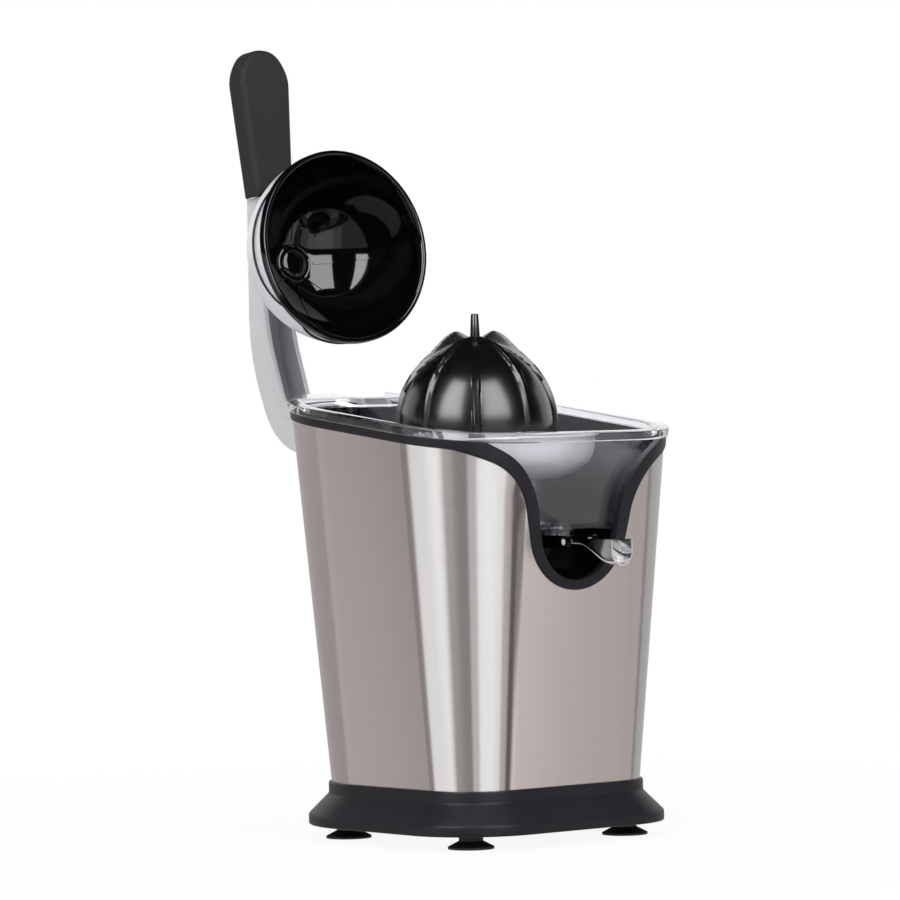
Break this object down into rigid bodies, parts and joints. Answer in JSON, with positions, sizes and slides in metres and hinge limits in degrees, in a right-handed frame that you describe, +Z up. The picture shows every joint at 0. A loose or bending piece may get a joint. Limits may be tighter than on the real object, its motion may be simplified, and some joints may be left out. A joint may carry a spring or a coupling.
{
  "type": "citrus juicer",
  "caption": "Electric lever-arm citrus press: ribbed reamer in a clear bowl on a tapered brushed-steel body, tilting drip spout, raised arm with a domed fruit cup and a flat grip.",
  "frame": {"origin": "middle of the overall footprint, on the counter under the suction feet", "axes": "+Z up, -Y to the front where the spout is, +X to the right of someone facing the spout's back"},
  "size_m": [0.1522, 0.2652, 0.3719],
  "materials": {
    "brushed_steel": "horizontally brushed",
    "stainless": "satin",
    "steel": "machined",
    "rotor_steel": "laminated",
    "bronze": "machined",
    "windings": "enamelled wire",
    "silver_metal": "satin painted",
    "silver_plastic": "silver, semi-gloss",
    "black_plastic": "fine satin",
    "soft_black": "soft matt",
    "black_gloss": "polished",
    "clear_plastic": "clear, polished",
    "gear_plastic": "natural",
    "rubber": "matt"
  },
  "bodies": {
    "housing": {"base_skirt": "black_plastic", "bottom_cover": "black_plastic", "suction_feet": "rubber", "bottom_screws": "steel", "body_shell": "brushed_steel", "top_bezel": "black_plastic", "spout_well": "black_gloss", "inner_deck": "black_plastic", "shaft_bushes": "bronze", "shaft_seal": "rubber", "juice_bowl": "clear_plastic", "strainer": "stainless", "gear_axle": "steel", "gear_plate": "steel", "plate_screws": "steel", "motor_can": "steel", "motor_stator": "windings", "return_spring": "steel", "microswitch": "black_plastic", "switch_bracket": "steel", "hinge_bracket": "black_plastic", "bracket_screws": "steel", "hinge_rod": "steel", "cord_gland": "rubber"},
    "arm": {"lever_arm": "silver_metal", "handle_grip": "soft_black", "grip_screw": "steel", "cup_pin": "steel", "pivot_cap": "silver_plastic"},
    "cup": {"press_cup": "black_gloss", "cup_hood": "silver_plastic", "cup_spider": "silver_plastic"},
    "plunger": {"press_plunger": "gear_plastic"},
    "spindle": {"drive_shaft": "steel", "output_gear": "gear_plastic", "reamer": "black_gloss"},
    "reduction": {"reduction_gear": "gear_plastic"},
    "rotor": {"motor_rotor": "rotor_steel", "motor_pinion": "gear_plastic"},
    "spout": {"drip_spout": "stainless"}
  },
  "joints": [
    {"name": "arm_swing", "type": "hinge", "parent": "housing", "child": "arm", "pos_m": [0, 0.04609, 0.1953], "axis": [1, 0, 0], "range_deg": [0, 93]},
    {"name": "cup_sway", "type": "hinge", "parent": "arm", "child": "cup", "pos_m": [0, 0.11539, 0.2652], "axis": [0, 0.1537, 0.9881], "range_deg": [0, 9]},
    {"name": "press_slide", "type": "slide", "parent": "housing", "child": "plunger", "axis": [0, 0, -1], "range_m": [0, 0.002], "stiffness_N_per_m": 2000, "springref_m": -0.002, "deforming": ["return_spring"]},
    {"name": "reamer_spin", "type": "hinge", "parent": "plunger", "child": "spindle", "pos_m": [0, -0.03361, 0.15], "axis": [0, 0, 1], "continuous": true},
    {"name": "reduction_spin", "type": "hinge", "parent": "housing", "child": "reduction", "pos_m": [0.02609, -0.01027, 0.11], "axis": [0, 0, 1], "continuous": true},
    {"name": "rotor_spin", "type": "hinge", "parent": "housing", "child": "rotor", "pos_m": [0, -0.00011, 0.07], "axis": [0, 0, 1], "continuous": true},
    {"name": "spout_tilt", "type": "hinge", "parent": "housing", "child": "spout", "pos_m": [0, -0.10361, 0.1369], "axis": [-1, 0, 0], "range_deg": [0, 14]}
  ],
  "couplings": [
    {"joint": "reduction_spin", "follows": "reamer_spin", "ratio": -4},
    {"joint": "rotor_spin", "follows": "reamer_spin", "ratio": 12}
  ]
}
